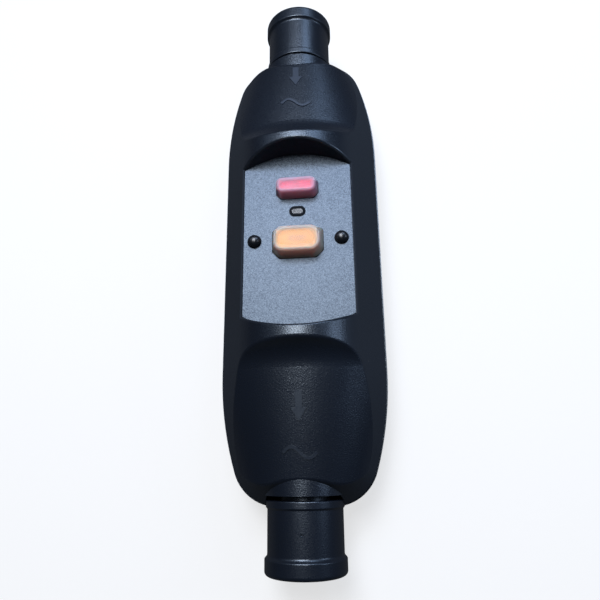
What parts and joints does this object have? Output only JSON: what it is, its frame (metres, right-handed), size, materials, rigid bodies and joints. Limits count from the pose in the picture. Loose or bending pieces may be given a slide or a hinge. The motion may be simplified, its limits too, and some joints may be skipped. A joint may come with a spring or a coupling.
{
  "type": "portable residual current device",
  "caption": "Long moulded in-line safety switch with a cord gland at each end and a recessed metal plate that carries booted test and reset buttons and a small light window.",
  "frame": {"origin": "middle of the flat back, on the surface the device lies on", "axes": "+Y along the cord towards the supply end, +X to the right of the buttons, +Z out of the button side"},
  "size_m": [0.0586, 0.2128, 0.0442],
  "materials": {
    "armature": "soft iron",
    "board_screws": "zinc plated",
    "capacitor": "dark sleeve",
    "circuit_board": "green lacquered board",
    "clamp_screws": "zinc plated",
    "coil_bobbin": "moulded nylon",
    "coil_winding": "enamelled copper",
    "contact_bridges": "strip with silver buttons",
    "contact_carrier": "moulded nylon",
    "control_chip": "black with tinned legs",
    "earth_strap": "flat strip",
    "face_plate": "hammered blue-grey paint with a fine sparkle",
    "fixed_contacts": "strip with silver buttons",
    "front_shell": "fine-grained moulded plastic, near black",
    "light_pipe": null,
    "line_collar": "fine-grained moulded plastic, near black",
    "line_cord_clamp": "moulded nylon",
    "line_grommet": "black rubber",
    "line_leads": null,
    "line_terminals": "machined",
    "load_collar": "fine-grained moulded plastic, near black",
    "load_cord_clamp": "moulded nylon",
    "load_grommet": "black rubber",
    "load_leads": null,
    "load_terminals": "machined",
    "magnet_yoke": "soft iron",
    "mechanism_frame": "moulded nylon",
    "opening_springs": "spring steel",
    "plate_studs": "glossy black",
    "rear_shell": "fine-grained moulded plastic, near black",
    "reset_boot": "milky translucent silicone",
    "reset_button": "orange",
    "reset_spring": "spring steel",
    "resistors": "beige lacquer",
    "shell_gasket": "black rubber",
    "shell_screws": "zinc plated",
    "status_lamp": "tinted lens",
    "terminal_screws": "zinc plated",
    "test_boot": "milky translucent silicone",
    "test_button": "red",
    "test_spring": "spring steel",
    "test_switch": "black",
    "toroid_core": "wound magnetic strip",
    "toroid_winding": "enamelled copper",
    "varistor": "blue lacquer"
  },
  "bodies": {
    "housing": {"board_screws": "board_screws", "capacitor": "capacitor", "circuit_board": "circuit_board", "clamp_screws": "clamp_screws", "coil_bobbin": "coil_bobbin", "coil_winding": "coil_winding", "control_chip": "control_chip", "earth_strap": "earth_strap", "face_plate": "face_plate", "fixed_contacts": "fixed_contacts", "front_shell": "front_shell", "light_pipe": "light_pipe", "line_collar": "line_collar", "line_cord_clamp": "line_cord_clamp", "line_grommet": "line_grommet", "line_leads": "line_leads", "line_terminals": "line_terminals", "load_collar": "load_collar", "load_cord_clamp": "load_cord_clamp", "load_grommet": "load_grommet", "load_leads": "load_leads", "load_terminals": "load_terminals", "magnet_yoke": "magnet_yoke", "mechanism_frame": "mechanism_frame", "opening_springs": "opening_springs", "plate_studs": "plate_studs", "rear_shell": "rear_shell", "reset_boot": "reset_boot", "reset_spring": "reset_spring", "resistors": "resistors", "shell_gasket": "shell_gasket", "shell_screws": "shell_screws", "status_lamp": "status_lamp", "terminal_screws": "terminal_screws", "test_boot": "test_boot", "test_spring": "test_spring", "test_switch": "test_switch", "toroid_core": "toroid_core", "toroid_winding": "toroid_winding", "varistor": "varistor"},
    "test_press": {"test_button": "test_button"},
    "reset_press": {"reset_button": "reset_button"},
    "carrier": {"contact_carrier": "contact_carrier", "contact_bridges": "contact_bridges", "armature": "armature"}
  },
  "joints": [
    {"name": "test_press", "type": "slide", "parent": "housing", "child": "test_press", "axis": [0, 0, -1], "range_m": [0, 0.0015], "stiffness_N_per_m": 500, "springref_m": -0.0015, "deforming": ["test_boot", "test_spring"]},
    {"name": "reset_press", "type": "slide", "parent": "housing", "child": "reset_press", "axis": [0, 0, -1], "range_m": [0, 0.0022], "stiffness_N_per_m": 600, "springref_m": -0.0015, "deforming": ["reset_boot", "reset_spring"]},
    {"name": "carrier_slide", "type": "slide", "parent": "housing", "child": "carrier", "axis": [0, 0, -1], "range_m": [0, 0.0022], "stiffness_N_per_m": 200, "springref_m": -0.002, "deforming": ["opening_springs"]}
  ],
  "couplings": [
    {"joint": "carrier_slide", "follows": "reset_press", "ratio": 1}
  ]
}
